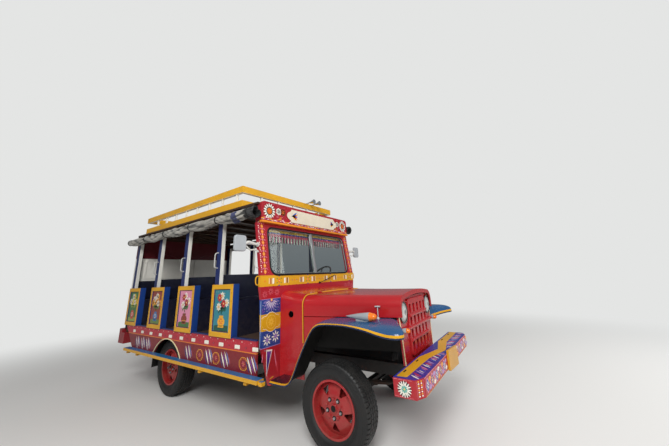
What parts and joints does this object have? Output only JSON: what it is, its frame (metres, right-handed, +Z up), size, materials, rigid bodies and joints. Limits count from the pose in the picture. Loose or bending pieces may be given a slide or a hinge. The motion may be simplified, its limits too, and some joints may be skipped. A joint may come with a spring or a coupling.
{
  "type": "chiva bus",
  "caption": "Open-sided country bus with bench rows, a wooden coach and a roof rack, on a bonneted light truck chassis.",
  "frame": {"origin": "centre of the bus's overall length and width, on the ground", "axes": "+X forward, +Y to the driver's left, +Z up"},
  "size_m": [5.02, 2.47, 2.588],
  "materials": {
    "red_paint": "gloss",
    "blue_paint": "gloss",
    "navy_paint": "gloss",
    "yellow_paint": "gloss",
    "painted_wood": "satin",
    "black_paint": "satin",
    "engine_grey": "matte",
    "spring_steel": "matte",
    "white_paint": "gloss",
    "tyre": "matte",
    "glass": "clear",
    "lamp_glass": "gloss",
    "chrome": "polished",
    "canvas": "matte",
    "exhaust_steel": "matte"
  },
  "bodies": {
    "coach": {"chassis_frame": "black_paint", "leaf_springs": "spring_steel", "front_axle": "black_paint", "rear_axle": "black_paint", "engine_and_radiator": "engine_grey", "fuel_tank": "black_paint", "exhaust": "exhaust_steel", "front_bumper": "red_paint", "grille_shell": "red_paint", "headlamps": "lamp_glass", "front_wings": "blue_paint", "cowl": "red_paint", "wing_lamps": "chrome", "front_wall": "red_paint", "windshield_glass": "glass", "header_board": "red_paint", "floor_deck": "painted_wood", "side_skirts": "red_paint", "running_boards": "blue_paint", "side_posts": "navy_paint", "seat_end_panels": "yellow_paint", "roof_frame": "painted_wood", "roof_panel": "painted_wood", "benches": "navy_paint", "rear_wall": "white_paint", "rear_bumper": "red_paint", "rear_ladder": "white_paint", "roof_rack": "yellow_paint", "tarp_rolls": "canvas", "mirrors": "white_paint", "steering_wheel": "black_paint", "dashboard": "red_paint", "air_horns": "chrome"},
    "bonnet": {"bonnet": "red_paint"},
    "knuckle_left": {"steering_knuckle_left": "black_paint"},
    "knuckle_right": {"steering_knuckle_right": "black_paint"},
    "tie_rod": {"tie_rod": "black_paint"},
    "wheel_front_left": {"wheel_front_left": "red_paint", "tyre_front_left": "tyre"},
    "wheel_front_right": {"wheel_front_right": "red_paint", "tyre_front_right": "tyre"},
    "wheel_rear_left": {"wheel_rear_left": "red_paint", "tyre_rear_left": "tyre"},
    "wheel_rear_right": {"wheel_rear_right": "red_paint", "tyre_rear_right": "tyre"}
  },
  "joints": [
    {"name": "bonnet_lift", "type": "hinge", "parent": "coach", "child": "bonnet", "pos_m": [1.237, 0, 1.23], "axis": [0, -1, 0], "range_deg": [0, 60]},
    {"name": "steer_left", "type": "hinge", "parent": "coach", "child": "knuckle_left", "pos_m": [1.69, 0.56, 0.341], "axis": [0, 0, 1], "range_deg": [-28, 28]},
    {"name": "steer_right", "type": "hinge", "parent": "coach", "child": "knuckle_right", "pos_m": [1.69, -0.56, 0.341], "axis": [0, 0, 1], "range_deg": [-28, 28]},
    {"name": "tie_rod_swing", "type": "hinge", "parent": "knuckle_left", "child": "tie_rod", "pos_m": [1.54, 0.56, 0.262], "axis": [0, 0, 1], "range_deg": [-28, 28]},
    {"name": "roll_front_left", "type": "hinge", "parent": "knuckle_left", "child": "wheel_front_left", "pos_m": [1.69, 0.7, 0.341], "axis": [0, 1, 0], "continuous": true},
    {"name": "roll_front_right", "type": "hinge", "parent": "knuckle_right", "child": "wheel_front_right", "pos_m": [1.69, -0.7, 0.341], "axis": [0, 1, 0], "continuous": true},
    {"name": "roll_rear_left", "type": "hinge", "parent": "coach", "child": "wheel_rear_left", "pos_m": [-0.96, 0.745, 0.341], "axis": [0, 1, 0], "continuous": true},
    {"name": "roll_rear_right", "type": "hinge", "parent": "coach", "child": "wheel_rear_right", "pos_m": [-0.96, -0.745, 0.341], "axis": [0, 1, 0], "continuous": true}
  ],
  "couplings": [
    {"joint": "steer_right", "follows": "steer_left", "ratio": 1},
    {"joint": "tie_rod_swing", "follows": "steer_left", "ratio": -1}
  ]
}
